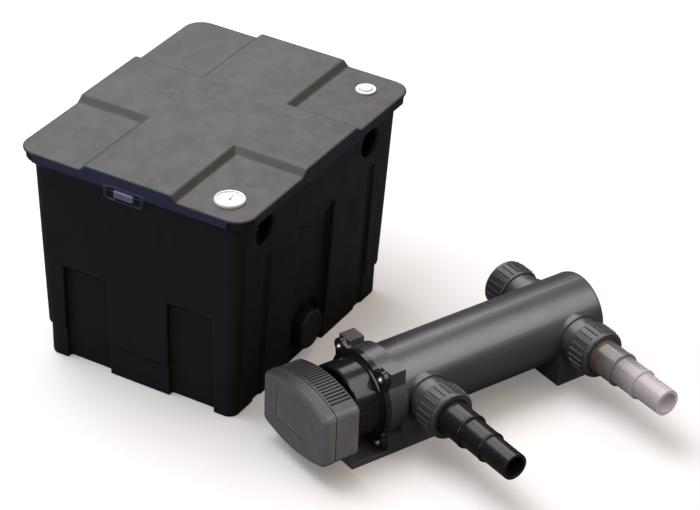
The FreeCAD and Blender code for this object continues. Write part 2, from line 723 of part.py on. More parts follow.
def make_foot(start, end, with_plate):
    """Saddle block under the tube, from start to end along it."""
    parts = [box(-dim.foot_half, dim.foot_half, start, end, 0, dim.axis_z - 17)]
    plate_holes = []
    if with_plate:
        # low tapering plate reaching under the lamp head; outline: local Y, height
        outline = [(dim.plate_tip, 0), (start + 4, 0), (start + 4, dim.plate_top),
                   (-8, dim.plate_top), (-40, 8), (dim.plate_tip + 3, 7), (dim.plate_tip, 5)]
        parts.append(prism(outline, dim.foot_half * 2, -dim.foot_half, 0, 0, YZ_ALONG_X))
        plate_holes = [cylinder(2.75, 30, x, -40, -5) for x in (-30, 30)]
    return cut(
        fuse(*parts), tube_cylinder(dim.tube_r + 0.03, 600, -100),
        box(-dim.foot_half + 5, dim.foot_half - 5, start + 5, end - 5, -1, 40),
        tube_cylinder(dim.tube_r + 2.6, dim.collar_len + 6, 0),
        tube_cylinder(dim.collar_r + 0.3, dim.collar_len + 0.3, 0),
        *[cylinder(dim.spigot_r + 2.6, 160, -80, along, dim.axis_z, TO_X)
          for along in (dim.inlet_along, dim.outlet_along)],
        *plate_holes)


finish("uv_foot_front", put_uv(make_foot(dim.front_foot_start, dim.front_foot_end, True)))
finish("uv_foot_rear", put_uv(make_foot(dim.rear_foot_start, dim.rear_foot_end, False)))


# ---------------------------------------------------------------- clarifier: flange
def make_flange_cap():
    ears = [tube_cylinder(dim.collar_r, dim.ear_len, -dim.ear_len)]
    ear_holes = []
    web_root, web_end = dim.lug_x * 0.6, dim.lug_circle
    web_outline = [(web_root, -19), (web_end - 6, -16), (web_end, -dim.ear_r),
                   (web_end, dim.ear_r), (web_end - 6, 16), (web_root, 19)]
    for x, z in SCREW_PLACES:
        ears.append(cylinder(dim.ear_r, dim.ear_len, x, -dim.ear_len, z, TO_Y))
        # web between ear and ring, turned about the tube axis to its corner
        angle = math.degrees(math.atan2((z - dim.axis_z).value, x.value))
        ears.append(prism(web_outline, dim.ear_len, 0, -dim.ear_len, dim.axis_z,
                          Rotation(Vector(0, 1, 0), -angle) * TO_Y))
        ear_holes.append(cylinder(dim.screw_r, dim.ear_len + 2, x, -dim.ear_len - 1, z, TO_Y))
    sleeve_fit = dim.sleeve_r + 0.2
    end = dim.neck_end
    neck = tube_turned([
        (sleeve_fit, 0), (dim.collar_r - 1, 0), (dim.collar_r - 1, -3),
        (dim.neck_r, -dim.ear_len - 1.5), (dim.neck_r, end + 1.5), (dim.neck_r - 1.5, end),
        (dim.neck_r - 5, end), (dim.neck_r - 5, end + 9), (33, end + 9), (33, end - 9.9),
        (28, end - 9.9), (28, -16), (sleeve_fit, -16)])
    oring_seat = tube_turned([(54, 0.5), (58, 0.5), (58, -3.5), (54, -3.5)])
    return cut(fuse(neck, *ears), oring_seat, tube_cylinder(28, 40, end - 10),
               tube_cylinder(sleeve_fit, 30, -20), *ear_holes)


finish("uv_flange_cap", put_uv(make_flange_cap()))

# O-rings: label, ring radius, section radius, local Y
for label, ring_r, section_r, along in (("uv_flange_oring", 56, 1.7, -1.75),
                                        ("quartz_oring", 24.1, 1.9, -18.0)):
    ring = doc.addObject("Part::Torus", "Ring")
    ring.Radius1 = ring_r
    ring.Radius2 = section_r
    finish(label, put_uv(ring, 0, along, dim.axis_z, TO_Y))

# screw profile: radius, local Y; the domed head with its socket is at the -Y end
screw_tip, head_seat = dim.lug_len + 1, -dim.ear_len
SCREW_PROFILE = [
    (0, screw_tip), (dim.screw_r - 0.4, screw_tip), (dim.screw_r, dim.lug_len + 0.4),
    (dim.screw_r, head_seat), (5, head_seat), (5, head_seat - 1.6), (3.6, head_seat - 3.3),
    (2.0, head_seat - 3.9), (2.0, head_seat - 2), (0, head_seat - 2)]
finish("uv_flange_screws", put_uv(fuse(
    *[turned(SCREW_PROFILE, x, 0, z, TO_Y) for x, z in SCREW_PLACES])))
finish("uv_flange_nuts", put_uv(fuse(
    *[cut(prism(hexagon(8), 4.2, x, dim.lug_len - 5.6, z, TO_Y),
          cylinder(dim.screw_r + 0.05, 10, x, dim.lug_len - 8, z, TO_Y))
      for x, z in SCREW_PLACES])))

# ---------------------------------------------------------------- clarifier: lamp
sleeve_r, sleeve_end = dim.sleeve_r, dim.sleeve_end
sleeve_inner = sleeve_r - dim.sleeve_wall
finish_tube_turned("quartz_sleeve", [
    (sleeve_r, -34), (sleeve_r, sleeve_end - 8), (sleeve_r - 6, sleeve_end - 1.5),
    (0, sleeve_end), (0, sleeve_end - dim.sleeve_wall), (sleeve_r - 7, sleeve_end - 3.4),
    (sleeve_inner, sleeve_end - 9), (sleeve_inner, -34)])
finish_tube_turned("quartz_gland_nut", [
    (sleeve_r + 0.1, -20.1), (27.9, -20.1), (27.9, -34), (sleeve_r + 0.1, -34)])


def lamp_block(y_low, y_high):
    """Block as wide and high as the lamp's cap, in the local frame."""
    return box(-17.5, 17.5, y_low, y_high, dim.axis_z - 8.5, dim.axis_z + 8.5)


def put_block(block, x, y, z):
    """Move a block from the local frame, with its low corner at x, y, z there."""
    return put_uv(block, x, y, z)


limb_x = 9.4
limbs = [cylinder(8.6, 306, x, 2, dim.axis_z, TO_Y) for x in (-limb_x, limb_x)]
bridge = box(-limb_x, limb_x, 290, 300, dim.axis_z - 4, dim.axis_z + 4)
finish("uv_lamp", put_uv(fuse(*limbs, bridge, lamp_block(-12, 4))))
finish("lamp_socket", put_block(lamp_block(-46, -12.1), -17.5, -46, dim.axis_z - 8.5))


# ---------------------------------------------------------------- lamp head
def head_form(start, end, inset):
    """Upright-sided block along local Y with arched top and bottom."""
    half = dim.head_half - inset
    top = dim.axis_z + dim.head_corner + dim.head_top - inset
    bottom = dim.axis_z - dim.head_corner - dim.head_bottom + inset

    def arch_radius(rise):
        return (dim.head_half * dim.head_half + rise * rise) / (2 * rise) - inset

    top_r, bottom_r = arch_radius(dim.head_top), arch_radius(dim.head_bottom)
    length = end - start
    return common(box(-half, half, start, end, bottom - 5, top + 5),
                  cylinder(top_r, length, 0, start, top - top_r, TO_Y),
                  cylinder(bottom_r, length, 0, start, bottom + bottom_r, TO_Y))


def along_y(edge):
    start, end = edge.Vertexes[0].Point, edge.Vertexes[-1].Point
    return (abs(start.y - end.y) > 5 and abs(start.x - end.x) < 0.1
            and abs(start.z - end.z) < 0.1)


def at_y(y):
    return lambda edge: all(abs(v.Point.y - y) < 0.01 for v in edge.Vertexes)


split = dim.head_split


def make_cover():
    """Half of the head away from the tube, with an L-shaped line cut in its end face."""
    outside = rounded(head_form(dim.head_front, split, 0), 11, along_y)
    outside = rounded(outside, 7, at_y(dim.head_front.value))
    inside = rounded(head_form(dim.head_front + dim.head_wall, split + 1, dim.head_wall),
                     8, along_y)
    line_y = (dim.head_front - 1, dim.head_front + 0.9)
    upright = box(-38, -37, *line_y, dim.axis_z - 18, dim.axis_z + 30)
    level = box(-38, 24, *line_y, dim.axis_z - 19, dim.axis_z - 18)
    return cut(outside, inside, upright, level)


gland_x, gland_z = -56, 54


def make_ballast_housing():
    """Half of the head next to the tube, with slots in its top and a groove at the joint."""
    back = dim.head_back
    outside = rounded(head_form(split, back, 0.4), 11, along_y)
    outside = rounded(outside, 4, at_y(back.value))
    inside = rounded(head_form(split - 1, back - dim.head_wall, dim.head_wall + 0.4),
                     8, along_y)
    slots = []
    for i in range(19):
        x = -51.8 + 5.6 * i
        slots.append(box(x, x + 3.0, split + 4, back - 3.5, dim.axis_z + 30, dim.axis_z + 70))
    groove = cut(head_form(split - 0.5, split + 1.5, -2),
                 rounded(head_form(split - 10, split + 10, 1.5), 9.5, along_y))
    return cut(outside, inside, groove, tube_cylinder(33.02, 20, back - 10),
               cylinder(6.1, 20, gland_x, back - 10, gland_z, TO_Y), *slots)


finish("ballast_cover", put_uv(make_cover()))
finish("ballast_housing", put_uv(make_ballast_housing()))
finish("electronic_ballast", put_block(
    box(-56, 56, -91, -74, dim.axis_z - 26, dim.axis_z - 2), -56, -91, dim.axis_z - 26))

gland = fuse(cylinder(6.05, 14, gland_x, dim.head_back - 6, gland_z, TO_Y),
             prism(hexagon(17), 6, gland_x, dim.head_back, gland_z, TO_Y),
             cylinder(7, 4.4, gland_x, dim.head_back + 5, gland_z, TO_Y))
finish("cable_gland", put_uv(cut(
    gland, cylinder(3.6, 60, gland_x, dim.head_back - 20, gland_z, TO_Y))))


def make_cable():
    """Round cable swept out of the gland and down to the floor on the tube's -X side."""
    # spline poles in the local frame: x, y, z
    poles = [Vector(*pole) for pole in (
        (gland_x, -64, gland_z), (gland_x, -52, gland_z), (gland_x, -40, gland_z),
        (gland_x, -32, gland_z), (-66, -20, 54), (-75, 4, 40), (-74, 24, 4),
        (-74, 52, 3.8), (-74, 90, 3.8), (-73, 125, 3.8))]
    spine = Part.BSplineCurve()
    spine.buildFromPoles(poles)
    path = Part.Wire([spine.toShape()])
    heading = spine.tangent(spine.FirstParameter)[0]
    section = Part.Wire([Part.Circle(poles[0], heading, 3.5).toShape()])
    cable = doc.addObject("Part::Feature", "Cable")
    cable.Shape = path.makePipeShell([section], True, True)
    return cable


finish("power_cable", put_uv(make_cable()))


# ---------------------------------------------------------------- unions and hose tails
# profiles: radius, distance out from the tube's axis
thread_fit = dim.thread_r + 0.06
tail_flange_r = dim.thread_r - 0.3
seal_end = dim.thread_end + 1.6
nut_shoulder = dim.nut_front - 7.7


def make_union_nut():
    back, front = dim.nut_back, dim.nut_front
    nut = turned([
        (thread_fit, back), (dim.nut_r - 3, back), (dim.nut_r - 1.8, back + 1.5),
        (dim.nut_r - 1.8, front - 2), (dim.nut_r - 3.5, front), (dim.nut_hole + 1, front),
        (dim.nut_hole, front - 1), (dim.nut_hole, front - 7.6), (thread_fit, front - 7.6)])
    add_ribs(nut, dim.nut_r - 3.2, dim.nut_r, 2.6, back + 4.5, front - 6.5, 24)
    return nut


def make_gasket():
    inner, outer = dim.union_bore + 0.5, dim.thread_r - 0.4
    start, end = dim.thread_end + 0.05, dim.thread_end + 1.5
    return turned([(inner, start), (outer, start), (outer, end), (inner, end)])


def make_hose_tail():
    """Tail in three diameters, with a raised band at the end of the first two."""
    one, two, three, bore = dim.tail_one, dim.tail_two, dim.tail_three, dim.tail_bore
    first_end, second_end = dim.nut_front + 41, dim.nut_front + 82
    return turned([
        (bore + 5, seal_end), (tail_flange_r, seal_end), (tail_flange_r, nut_shoulder),
        (one, nut_shoulder), (one, dim.nut_front + 3), (one - 0.8, dim.nut_front + 5),
        (one - 0.8, first_end - 3.6), (one, first_end - 2.8), (one, first_end - 0.8),
        (one - 0.8, first_end), (two - 0.8, first_end + 0.4),
        (two - 0.8, second_end - 3.6), (two, second_end - 2.8), (two, second_end - 0.8),
        (two - 0.8, second_end), (three, second_end + 0.4),
        (three, dim.tail_end), (bore, dim.tail_end), (bore, second_end),
        (bore + 2.5, first_end), (bore + 5, dim.nut_front)])


def make_blanking_disc():
    boss_r, face_end = dim.nut_hole - 0.1, dim.nut_front - 2
    return turned([
        (0, seal_end), (tail_flange_r, seal_end), (tail_flange_r, nut_shoulder),
        (boss_r, nut_shoulder), (boss_r, dim.nut_front - 2.5), (dim.nut_hole - 2, face_end),
        (0, face_end)])


for name, along, side in PORTS:
    place = (0, along, dim.axis_z, AIM[side])
    finish("union_nut_" + name, put_uv(make_union_nut(), *place))
    finish("union_gasket_" + name, put_uv(make_gasket(), *place))
    if name == "blank":
        finish("blanking_disc", put_uv(make_blanking_disc(), *place))
    else:
        finish("hose_tail_" + name, put_uv(make_hose_tail(), *place))

# ---------------------------------------------------------------- check and write
doc.recompute()
bad = []
for obj in doc.Objects:
    if "Invalid" in obj.State or "Error" in obj.State:
        bad.append("%s (%s) %s" % (obj.Name, obj.Label, obj.State))
for label, obj in pieces.items():
    if obj.Shape.isNull():
        bad.append(label + ": null shape")
    elif not obj.Shape.isValid():
        bad.append(label + ": shape not valid")
    elif not obj.Shape.Solids:
        bad.append(label + ": no solid")
if bad:
    raise RuntimeError("model has failed objects:\n" + "\n".join(bad))
os.makedirs("parts", exist_ok=True)
for label, obj in pieces.items():
    obj.Shape.exportStep("parts/%s.step" % label)
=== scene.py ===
"""An aquarium box filter and, to its right, a UV clarifier tube standing on one floor.

Metres, +Z up, floor at z = 0, front towards -Y. The box is square to the axes; the clarifier
tube runs from front to back, turned TUBE_YAW about Z.
"""
import bpy
import json
import math
from mathutils import Vector, Matrix, noise

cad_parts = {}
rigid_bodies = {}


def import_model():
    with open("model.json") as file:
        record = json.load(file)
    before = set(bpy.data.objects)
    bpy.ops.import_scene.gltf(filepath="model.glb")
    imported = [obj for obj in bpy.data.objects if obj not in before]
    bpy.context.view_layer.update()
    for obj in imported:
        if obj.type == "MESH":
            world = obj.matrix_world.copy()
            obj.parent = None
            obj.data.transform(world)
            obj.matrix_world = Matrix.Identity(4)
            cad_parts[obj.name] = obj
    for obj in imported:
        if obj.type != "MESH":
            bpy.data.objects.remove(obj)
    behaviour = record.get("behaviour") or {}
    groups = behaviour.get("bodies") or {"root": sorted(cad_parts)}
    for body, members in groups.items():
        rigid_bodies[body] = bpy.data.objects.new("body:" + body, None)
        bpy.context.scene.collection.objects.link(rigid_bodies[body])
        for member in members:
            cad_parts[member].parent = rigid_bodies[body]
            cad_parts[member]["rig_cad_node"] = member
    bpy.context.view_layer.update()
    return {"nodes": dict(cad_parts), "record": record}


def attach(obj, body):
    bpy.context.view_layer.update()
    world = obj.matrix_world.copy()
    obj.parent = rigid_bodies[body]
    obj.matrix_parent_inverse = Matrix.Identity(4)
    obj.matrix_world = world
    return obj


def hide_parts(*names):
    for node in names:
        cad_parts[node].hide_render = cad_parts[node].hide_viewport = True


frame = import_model()
NODES = frame["nodes"]
BODY_OF = {node: body for body, nodes in frame["record"]["behaviour"]["bodies"].items()
           for node in nodes}
SLOT_OF = {part["node"]: part["material_slot"] for part in frame["record"]["subparts"]}
CLARIFIER_BODIES = {"clarifier", "uv_head", "nut_inlet", "nut_outlet", "nut_blank",
                    "tail_inlet", "tail_outlet"}
SCENE = bpy.context.scene

# clarifier tube: its axis starts above TUBE_START and runs level along TUBE_ALONG
TUBE_YAW = math.radians(-23.7)
TUBE_START = Vector((0.314, -0.1306, 0))
TUBE_ALONG = Vector((-math.sin(TUBE_YAW), math.cos(TUBE_YAW), 0))
TUBE_ACROSS = Vector((math.cos(TUBE_YAW), math.sin(TUBE_YAW), 0))
TUBE_AXIS_Z = 0.072
TUBE_RADIUS = 0.055


# ------------------------------------------------------------------ objects and meshes
def link(obj):
    SCENE.collection.objects.link(obj)
    return obj


def ride(obj, body):
    obj["rides"] = body  # read again when the lights are shared out
    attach(obj, body)


def shade(mesh, smooth=True, angle=None):
    """Smooth or flat shading; angle (degrees) keeps sharper edges crisp."""
    mesh.polygons.foreach_set("use_smooth", [smooth] * len(mesh.polygons))
    if angle is not None:
        mesh.set_sharp_from_angle(angle=math.radians(angle))
    mesh.update()


def mesh_object(name, verts, faces, smooth=True, angle=None):
    mesh = bpy.data.meshes.new(name)
    mesh.from_pydata([tuple(v) for v in verts], [], faces)
    mesh.validate()
    obj = link(bpy.data.objects.new(name, mesh))
    shade(mesh, smooth, angle)
    return obj


def add_modifier(obj, name, kind, **settings):
    modifier = obj.modifiers.new(name, kind)
    for key, value in settings.items():
        setattr(modifier, key, value)
    return modifier


def remoulded(node, name, voxel, smooth, ratio=None):
    """A soft-edged moulding from a CAD solid: voxel skin, relaxed, then thinned to ratio."""
    source = link(bpy.data.objects.new(name + "_src", NODES[node].data.copy()))
    add_modifier(source, "weld", "WELD", merge_threshold=1e-6)
    add_modifier(source, "skin", "REMESH", mode="VOXEL", voxel_size=voxel)
    add_modifier(source, "relax", "SMOOTH", factor=0.5, iterations=smooth)
    if ratio:
        add_modifier(source, "thin", "DECIMATE", ratio=ratio)
    bpy.context.view_layer.update()
    graph = bpy.context.evaluated_depsgraph_get()
    mesh = bpy.data.meshes.new_from_object(source.evaluated_get(graph), depsgraph=graph)
    bpy.data.objects.remove(source)
    mesh.name = name
    obj = link(bpy.data.objects.new(name, mesh))
    shade(mesh)
    return obj


def smooth_by_angle_group():
    """Node group that shades smooth except across edges sharper than the given angle."""
    group = bpy.data.node_groups.new("smooth_by_angle", "GeometryNodeTree")

    def socket(name, direction, kind):
        return group.interface.new_socket(name, in_out=direction, socket_type=kind)

    socket("Geometry", "INPUT", "NodeSocketGeometry")
    angle = socket("Angle", "INPUT", "NodeSocketFloat")
    angle.default_value = 0.6
    socket("Geometry", "OUTPUT", "NodeSocketGeometry")
    source = group.nodes.new("NodeGroupInput")
    result = group.nodes.new("NodeGroupOutput")
    edge_angle = group.nodes.new("GeometryNodeInputMeshEdgeAngle")
    compare = group.nodes.new("FunctionNodeCompare")
    compare.data_type = "FLOAT"
    compare.operation = "LESS_EQUAL"
    faces = group.nodes.new("GeometryNodeSetShadeSmooth")
    faces.domain = "FACE"
    edges = group.nodes.new("GeometryNodeSetShadeSmooth")
    edges.domain = "EDGE"
    for start, end in (
        (source.outputs[0], faces.inputs[0]),
        (faces.outputs[0], edges.inputs[0]),
        (edge_angle.outputs["Unsigned Angle"], compare.inputs[0]),
        (source.outputs[1], compare.inputs[1]),
        (compare.outputs[0], edges.inputs["Shade Smooth"]),
        (edges.outputs[0], result.inputs[0]),
    ):
        group.links.new(start, end)
    return group, angle.identifier


SMOOTH_GROUP, SMOOTH_ANGLE = smooth_by_angle_group()


def smooth_by_angle(obj, degrees):
    modifier = add_modifier(obj, "angle", "NODES", node_group=SMOOTH_GROUP)
    modifier[SMOOTH_ANGLE] = math.radians(degrees)


def soften(node, width):
    """Rounds the edges of a carried-over CAD node with modifiers only."""
    obj = NODES[node]
    add_modifier(obj, "weld", "WELD", merge_threshold=1e-6)
    add_modifier(obj, "edge", "BEVEL", width=width, segments=2, limit_method="ANGLE",
                 angle_limit=math.radians(28), use_clamp_overlap=True)
    smooth_by_angle(obj, 50)
    add_modifier(obj, "normals", "WEIGHTED_NORMAL", keep_sharp=True, weight=60)


def crisp(node, angle=32):
    """Leaves a CAD node's edges sharp and smooths only its curved faces."""
    obj = NODES[node]
    add_modifier(obj, "weld", "WELD", merge_threshold=1e-6)
    smooth_by_angle(obj, angle)
    add_modifier(obj, "normals", "WEIGHTED_NORMAL", keep_sharp=True)


# ------------------------------------------------------------------ shader building
class Shader:
    """Adds nodes to the tree of a material or world. A value is a number, tuple or socket."""

    def __init__(self, owner, surface="Principled BSDF"):
        owner.use_nodes = True
        self.owner = owner
        self.tree = owner.node_tree
        self.surface = self.tree.nodes[surface]

    def put(self, socket, value):
        if isinstance(value, bpy.types.NodeSocket):
            self.tree.links.new(value, socket)
        elif isinstance(value, tuple) and len(socket.default_value) == 4:
            socket.default_value = (*value, 1)
        else:
            socket.default_value = value

    def add(self, kind, inputs=None, **settings):
        node = self.tree.nodes.new("ShaderNode" + kind)
        for key, value in settings.items():
            setattr(node, key, value)
        for key, value in (inputs or {}).items():
            self.put(node.inputs[key], value)
        return node

    def set_surface(self, values):
        for key, value in values.items():
            self.put(self.surface.inputs[key], value)

    def coordinates(self, stretch=None, turn=0.0):
        """Object coordinates, if stretch is given turned about Z and scaled."""
        place = self.add("TexCoord").outputs["Object"]
        if stretch is None:
            return place
        return self.add("Mapping", {"Vector": place, "Rotation": (0, 0, turn),
                                    "Scale": stretch}).outputs["Vector"]

    def map_range(self, value, start, end, low=0.0, high=1.0):
        return self.add("MapRange", {"Value": value, "From Min": start, "From Max": end,
                                     "To Min": low, "To Max": high}).outputs["Result"]

    def noise(self, scale, detail=3, rough=0.55, low=0.0, high=1.0, distort=0.0,
              stretch=None, turn=0.0):
        """Cloud noise whose middle range is spread over low to high."""
        cloud = self.add("TexNoise", {
            "Scale": scale, "Detail": detail, "Roughness": rough, "Distortion": distort,
            "Vector": self.coordinates(stretch, turn)})
        return self.map_range(cloud.outputs["Fac"], 0.3, 0.7, low, high)

    def cells(self, scale):
        return self.add("TexVoronoi", {"Scale": scale, "Vector": self.coordinates()}
                        ).outputs["Distance"]

    def mix(self, factor, a, b, blend="MIX"):
        """Colour mix; sockets 0, 6 and 7 are the factor and the two colours."""
        return self.add("Mix", {0: factor, 6: a, 7: b},
                        data_type="RGBA", blend_type=blend).outputs[2]

    def math(self, operation, *values, clamp=False):
        return self.add("Math", dict(enumerate(values)),
                        operation=operation, use_clamp=clamp).outputs[0]

    def bump(self, height, strength, depth, under=None):
        """Bump of the given depth (m), laid over the normal `under`."""
        inputs = {"Height": height, "Strength": strength, "Distance": depth}
        if under is not None:
            inputs["Normal"] = under
        return self.add("Bump", inputs).outputs["Normal"]

    def ramp(self, value, stops):
        """Colour ramp through (position, colour) stops."""
        node = self.add("ValToRGB", {"Fac": value})
        elements = node.color_ramp.elements
        for element, (position, color) in zip(elements, (stops[0], stops[-1])):
            element.position = position
            element.color = (*color, 1)
        for position, color in stops[1:-1]:
            elements.new(position).color = (*color, 1)
        return node.outputs["Color"]

    def split(self, vector):
        return self.add("SeparateXYZ", {0: vector}).outputs

    def seen_directly(self):
        """1 for rays from the camera or through clear parts, 0 for light and reflections."""
        path = self.add("LightPath").outputs
        return self.math("MAXIMUM", path["Is Camera Ray"], path["Is Transmission Ray"])

    def rub_edges(self, color, geometry, start, end, patches, pale):
        """Paler colour on convex edges; start and end are pointiness values."""
        edge = self.map_range(geometry.outputs["Pointiness"], start, end)
        return self.mix(self.math("MULTIPLY", edge, patches, clamp=True), color, pale)

    def multiply_color(self, factor, by):
        """Multiplies what already feeds the base colour."""
        socket = self.surface.inputs["Base Color"]
        before = socket.links[0].from_socket
        self.put(socket, self.mix(factor, before, by, blend="MULTIPLY"))

    def paint_recess_shade(self, distance, low):
        """Paints shade into slots and grooves narrower than distance, darkening them down to
        low.
        """
        occlusion = self.add("AmbientOcclusion", {"Distance": distance}, samples=6)
        self.multiply_color(1.0, self.map_range(occlusion.outputs["AO"], 0.35, 0.85, low))


LOOKS = {}


def new_look(name):
    LOOKS[name] = Shader(bpy.data.materials.new(name + "_look"))
    return LOOKS[name]


def scaled(color, factor):
    return tuple(c * factor for c in color)


# ------------------------------------------------------------------ materials
def moulded(name, base, rough, spec, cloud, mottled=0.15, grain=1400, grain_strength=0.12,
            worn=0.25, pale=None, spread=0.08):
    """Injection-moulded plastic: grain bump, cloudy tone, scuffed roughness, rubbed edges.

    cloud and grain are noise scales, mottled is the tone variation, worn the amount of
    edge wear towards the colour pale, and spread the roughness variation.
    """
    m = new_look(name)
    pale = pale or tuple(min(1, c * 2.6 + 0.02) for c in base)
    color = m.mix(m.noise(scale=cloud, detail=4, rough=0.6),
                  scaled(base, 1 - mottled), scaled(base, 1 + mottled))
    specks = m.noise(scale=cloud * 14, detail=2, rough=0.7)
    color = m.mix(m.math("MULTIPLY", specks, 0.25), color, scaled(base, 1 + mottled * 1.6))
    patches = m.math("MULTIPLY", m.noise(scale=cloud * 5, detail=4, rough=0.7), worn)
    color = m.rub_edges(color, m.add("NewGeometry"), start=0.52, end=0.62,
                        patches=patches, pale=pale)
    fine = m.bump(m.noise(scale=grain, detail=2, rough=0.6), strength=grain_strength,
                  depth=0.00012)
    broad = m.bump(m.noise(scale=cloud * 3.3, detail=3, rough=0.5), strength=0.05,
                   depth=0.0006, under=fine)
    m.set_surface({
        "Base Color": color, "Specular IOR Level": spec, "Normal": broad,
        "Roughness": m.noise(scale=cloud * 1.7, detail=5, rough=0.7,
                             low=rough - spread, high=rough + spread)})
    return m


def lid_plastic():
    """Greyed plastic with a leather grain, weathered on top, with a painted shade making the
    sides darker and bluer.
    """
    m = new_look("lid_plastic")
    color = m.mix(m.noise(scale=9, detail=5, rough=0.62, distort=0.4),
                  (0.039, 0.0392, 0.0358), (0.066, 0.0655, 0.0602))
    color = m.mix(m.noise(scale=70, detail=3, rough=0.7, high=0.5), color,
                  (0.075, 0.0745, 0.0695))
    color = m.mix(m.noise(scale=420, detail=2, rough=0.8, high=0.35), color,
                  (0.046, 0.0455, 0.043))
    geometry = m.add("NewGeometry")
    color = m.rub_edges(color, geometry, start=0.51, end=0.60, pale=(0.13, 0.13, 0.125),
                        patches=m.noise(scale=120, detail=4, rough=0.7, high=0.55))
    # painted shade: faces turned away from the top get a darker, bluer colour
    top_vs_painted_side_shade = m.map_range(m.split(geometry.outputs["Normal"])["Z"], 0.25, 0.75)
    color = m.mix(top_vs_painted_side_shade, (0.034, 0.037, 0.074), color)
    leather = m.bump(m.cells(620), strength=0.16, depth=0.00025)
    fine = m.bump(m.noise(scale=1800, detail=2, rough=0.6), strength=0.10, depth=0.0001,
                  under=leather)
    broad = m.bump(m.noise(scale=16, detail=3, rough=0.5), strength=0.10, depth=0.0012,
                   under=fine)
    m.set_surface({
        "Base Color": color, "Specular IOR Level": 0.30, "Normal": broad,
        "Roughness": m.noise(scale=40, detail=4, rough=0.7, low=0.48, high=0.62)})


def tub_plastic():
    """Near-black plastic with faint vertical drag marks."""
    m = new_look("tub_plastic")
    color = m.mix(m.noise(scale=12, detail=5, rough=0.6),
                  (0.0085, 0.0085, 0.0095), (0.0135, 0.0133, 0.0142))
    drags = m.noise(scale=55, detail=4, rough=0.75, stretch=(1, 1, 0.06), high=0.55)
    color = m.mix(drags, color, (0.0175, 0.0172, 0.018))
    color = m.rub_edges(color, m.add("NewGeometry"), start=0.51, end=0.60,
                        patches=m.noise(scale=90, detail=4, rough=0.7, high=0.5),
                        pale=(0.045, 0.045, 0.048))
    fine = m.bump(m.noise(scale=1500, detail=2, rough=0.6), strength=0.14, depth=0.00012)
    drawn = m.bump(m.noise(scale=240, detail=3, rough=0.6, stretch=(1, 1, 0.1)),
                   strength=0.05, depth=0.0002, under=fine)
    broad = m.bump(m.noise(scale=9, detail=3, rough=0.5), strength=0.10, depth=0.0022,
                   under=drawn)
    m.set_surface({
        "Base Color": color, "Specular IOR Level": 0.30, "Normal": broad,
        "Roughness": m.noise(scale=26, detail=5, rough=0.7, low=0.40, high=0.56)})


def moulded_plastics():
    moulded("black_plastic", (0.013, 0.013, 0.0135), rough=0.36, spec=0.45, cloud=60)
    nut = moulded("nut_black", (0.021, 0.021, 0.022), rough=0.38, spec=0.5, cloud=70,
                  grain=1800, worn=0.5)
    # painted shade in the nut's grooves
    nut.paint_recess_shade(distance=0.004, low=0.12)
    moulded("satin_black", (0.010, 0.0098, 0.0102), rough=0.15, spec=0.6, cloud=25,
            grain=1800, grain_strength=0.03, spread=0.05)
    head = moulded("head_plastic", (0.074, 0.070, 0.0725), rough=0.46, spec=0.45, cloud=45,
                   grain=1500, grain_strength=0.22, worn=0.35)
    # painted shade in the head's vents and crevices
    head.paint_recess_shade(distance=0.009, low=0.05)
    # painted shade: its upward faces are darker
    normal = head.add("NewGeometry").outputs["Normal"]
    head.multiply_color(head.map_range(head.split(normal)["Z"], 0.2, 0.8),
                        (0.42, 0.42, 0.43))
    moulded("tail_black", (0.0055, 0.0055, 0.0058), rough=0.20, spec=0.26, cloud=30,
            grain=1500, grain_strength=0.03, worn=0.15, spread=0.02)
    # lilac plastic, made paler to stand in for the highlight along its bar: partly painted
    # highlight
    moulded("latch_plastic", (0.15, 0.155, 0.23), rough=0.22, spec=0.6, cloud=150, worn=0.4)
    moulded("seal_rubber", (0.012, 0.012, 0.012), rough=0.65, spec=0.3, cloud=120)
    moulded("cable_rubber", (0.013, 0.013, 0.013), rough=0.5, spec=0.35, cloud=90)
    clean = dict(grain_strength=0.02, worn=0.0, pale=(0.9, 0.9, 0.9))
    moulded("bezel_white", (0.82, 0.82, 0.81), rough=0.22, spec=0.5, cloud=80,
            mottled=0.02, **clean)
    # white plastic dulled to grey-lilac: painted shade over the whole float
    moulded("float_white", (0.50, 0.48, 0.53), rough=0.28, spec=0.5, cloud=90,
            mottled=0.03, **clean)
    moulded("dial_white", (0.70, 0.70, 0.70), rough=0.5, spec=0.3, cloud=120,
            mottled=0.015, **clean)
    moulded("needle_black", (0.01, 0.01, 0.01), rough=0.4, spec=0.4, cloud=300)
    moulded("ball_plastic", (0.03, 0.03, 0.034), rough=0.4, spec=0.4, cloud=90)
    moulded("neck", (0.0065, 0.0064, 0.0067), rough=0.17, spec=0.26, cloud=20,
            mottled=0.1, grain=1800, grain_strength=0.02, worn=0.2, spread=0.03)
    moulded("foot", (0.034, 0.0325, 0.033), rough=0.36, spec=0.45, cloud=30,
            grain=1600, grain_strength=0.06, worn=0.3)
    moulded("pin_dark", (0.02, 0.02, 0.022), rough=0.4, spec=0.4, cloud=300)
    moulded("weld", (0.062, 0.060, 0.060), rough=0.34, spec=0.5, cloud=60, worn=0.1)
    moulded("ink", (0.02, 0.02, 0.022), rough=0.5, spec=0.3, cloud=400)


def gloss_black():
    """Polished black pipe with streaks drawn along its length."""
    m = new_look("gloss_black")
    streaks = m.noise(scale=520, detail=4, rough=0.5, stretch=(1, 0.03, 1), turn=-TUBE_YAW)
    color = m.mix(streaks, (0.019, 0.0183, 0.0187), (0.024, 0.0232, 0.0236))
    color = m.mix(m.noise(scale=25, detail=4, rough=0.6, high=0.4), color,
                  (0.032, 0.0305, 0.031))
    roughness = m.math("ADD", m.map_range(streaks, 0.0, 1.0, low=0.30, high=0.37),
                       m.noise(scale=18, detail=4, rough=0.7, low=-0.03, high=0.05))
    m.set_surface({
        "Base Color": color, "Specular IOR Level": 0.62, "Roughness": roughness,
        "Normal": m.bump(m.noise(scale=1600, detail=2, rough=0.6), strength=0.03,
                         depth=0.0001)})


